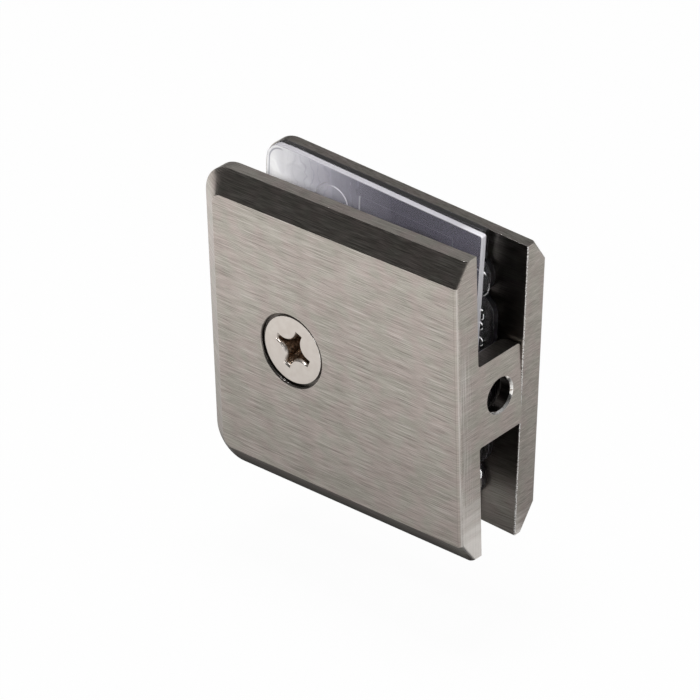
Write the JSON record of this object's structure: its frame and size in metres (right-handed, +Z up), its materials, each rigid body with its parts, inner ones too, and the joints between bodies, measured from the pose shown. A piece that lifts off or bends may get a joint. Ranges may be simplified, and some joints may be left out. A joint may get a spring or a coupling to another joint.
{
  "type": "glass u-clamp",
  "caption": "Square glass clamp of U form: bevelled plates across a slot with clear gaskets, a clamp screw, and a web with a hole for a wall screw.",
  "frame": {"origin": "centre of the wall screw's hole where it meets the wall", "axes": "+X into the wall, along the wall screw's hole; -Y the room side with the screw head, Y = 0 at mid-slot; +Z up"},
  "size_m": [0.0524, 0.0191, 0.0537],
  "materials": {
    "satin_nickel": "brushed nickel, straight grain along X, satin",
    "bright_nickel": "smooth bright nickel plating",
    "clear_vinyl": "clear moulded vinyl, glossy, faint lilac tint at the edges"
  },
  "bodies": {
    "base": {"front_plate": "satin_nickel"},
    "screw": {"clamp_screw": "bright_nickel"},
    "rear_gasket": {"rear_gasket": "clear_vinyl"},
    "back_plate": {"back_plate": "satin_nickel"},
    "front_gasket": {"front_gasket": "clear_vinyl"}
  },
  "joints": [
    {"name": "screw_turn", "type": "hinge", "parent": "base", "child": "screw", "pos_m": [-0.0325, 0, 0], "axis": [0, -1, 0], "range_deg": [0, 900]},
    {"name": "plate_travel", "type": "slide", "parent": "base", "child": "rear_gasket", "axis": [0, 1, 0], "range_m": [0, 0.0025]},
    {"name": "plate_swing", "type": "hinge", "parent": "rear_gasket", "child": "back_plate", "pos_m": [-0.0325, 0.00593, 0], "axis": [-0.0236, 0.9997, 0], "continuous": true},
    {"name": "gasket_slide", "type": "slide", "parent": "base", "child": "front_gasket", "axis": [0, -1, 0], "range_m": [0, 0.0062]}
  ],
  "couplings": [
    {"joint": "screw_turn", "follows": "plate_travel", "rad_per_m": 6283.2}
  ]
}
